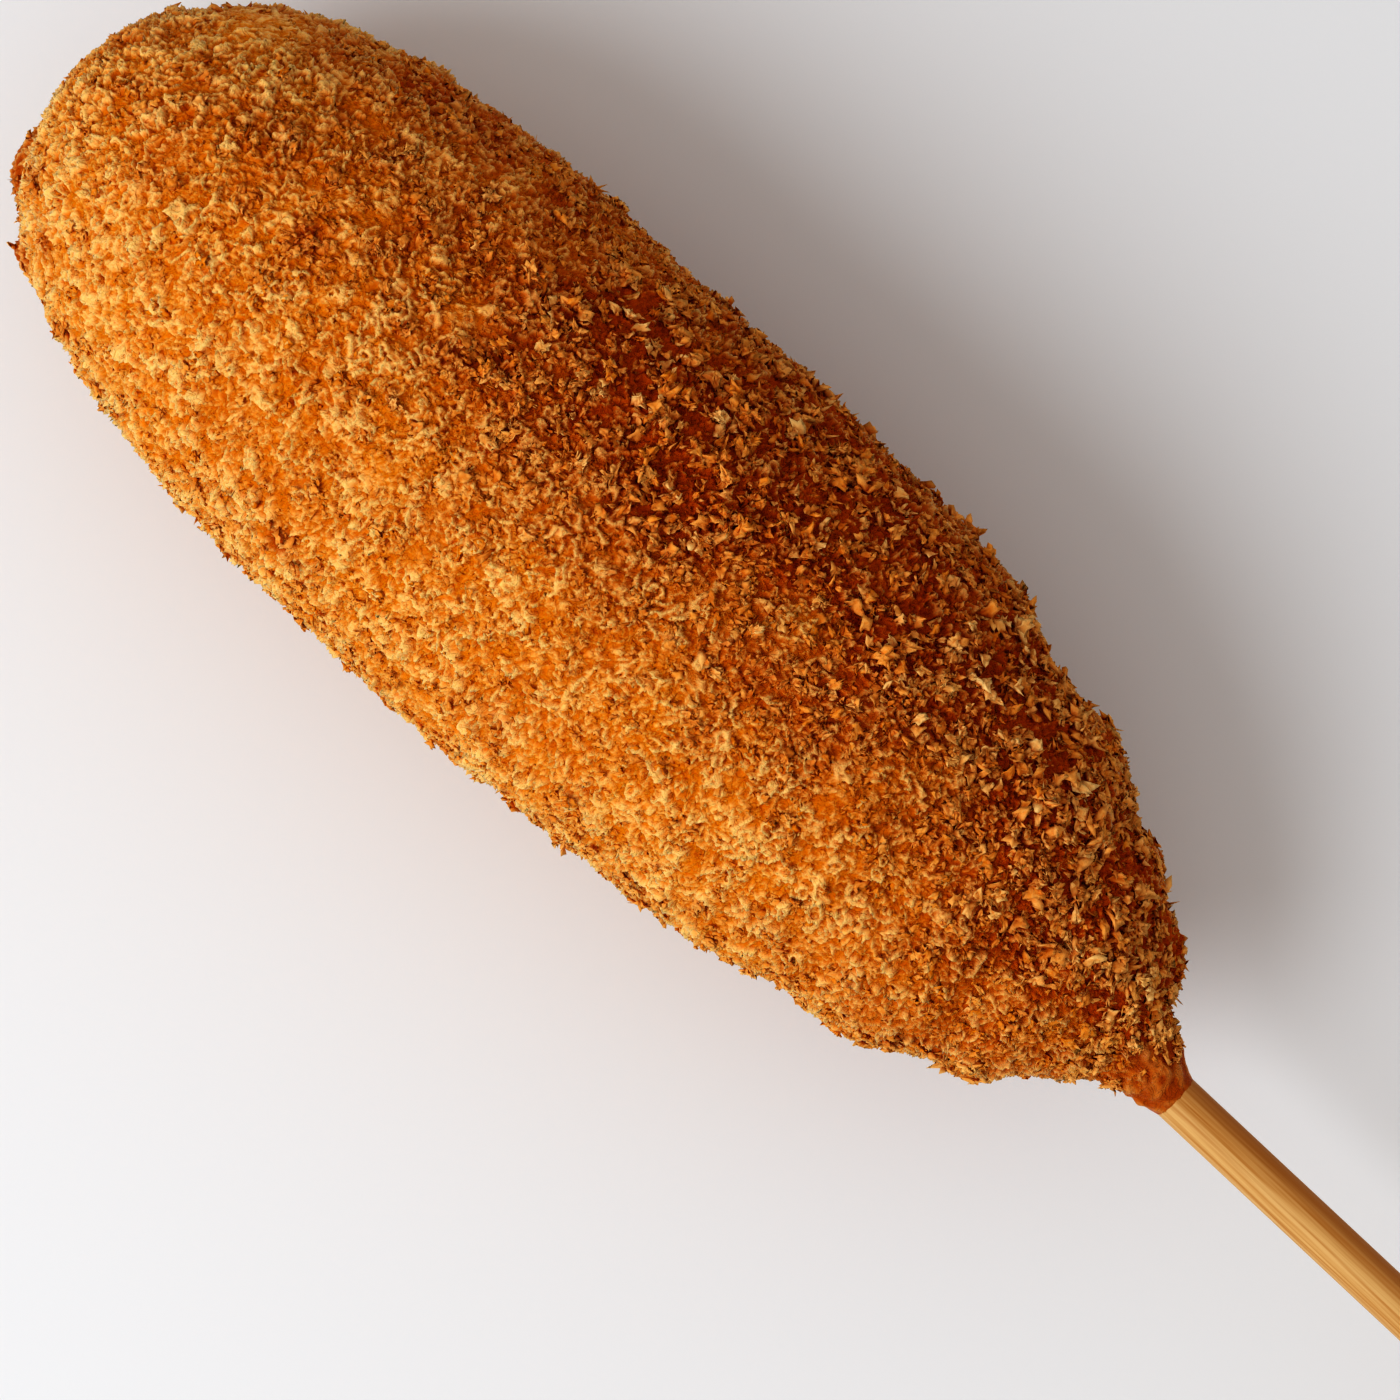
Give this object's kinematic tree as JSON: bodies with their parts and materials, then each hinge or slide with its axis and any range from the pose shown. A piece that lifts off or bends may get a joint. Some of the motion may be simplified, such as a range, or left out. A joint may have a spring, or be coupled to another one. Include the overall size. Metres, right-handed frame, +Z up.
{
  "type": "corn dog",
  "caption": "Fried corn dog with a coarse bread-crumb coat on a round bamboo stick, lying on its side.",
  "frame": {"origin": "centre of the object's box, on the level that it rests on", "axes": "+X from the coat's tip to the stick's free end, +Z up, +Y to the side that the coat bows towards"},
  "size_m": [0.246, 0.0552, 0.053],
  "materials": {
    "crumb_coat": "deep-fried bread crumb over batter, rough with small oily glints",
    "bamboo": "plain bamboo, fine lengthwise fibres, satin"
  },
  "bodies": {
    "root": {"crumb_coat": "crumb_coat", "stick": "bamboo"}
  },
  "joints": []
}
